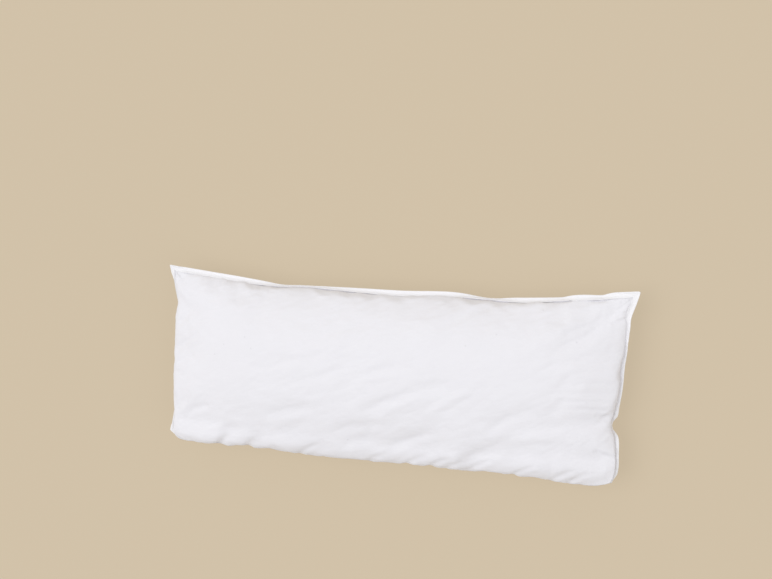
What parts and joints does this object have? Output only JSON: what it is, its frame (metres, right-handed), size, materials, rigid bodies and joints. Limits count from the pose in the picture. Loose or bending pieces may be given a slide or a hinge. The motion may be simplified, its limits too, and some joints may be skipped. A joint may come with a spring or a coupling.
{
  "type": "feather pillow",
  "caption": "Long rectangular feather pillow lying on its back: soft crown, gathered seams, pointed ears and a stitched flange round its edge.",
  "frame": {"origin": "centre of the pillow's box, on the surface that it lies on", "axes": "+X along the pillow's length, +Y across it towards the picture's upper edge, +Z out of its front face"},
  "size_m": [0.904, 0.3588, 0.1222],
  "materials": {
    "shell_cotton": "matt, closely woven white cotton",
    "flange_cotton": "matt white cotton, stitched in two rows"
  },
  "bodies": {
    "root": {"filled_shell": "shell_cotton", "edge_flange": "flange_cotton"}
  },
  "joints": []
}
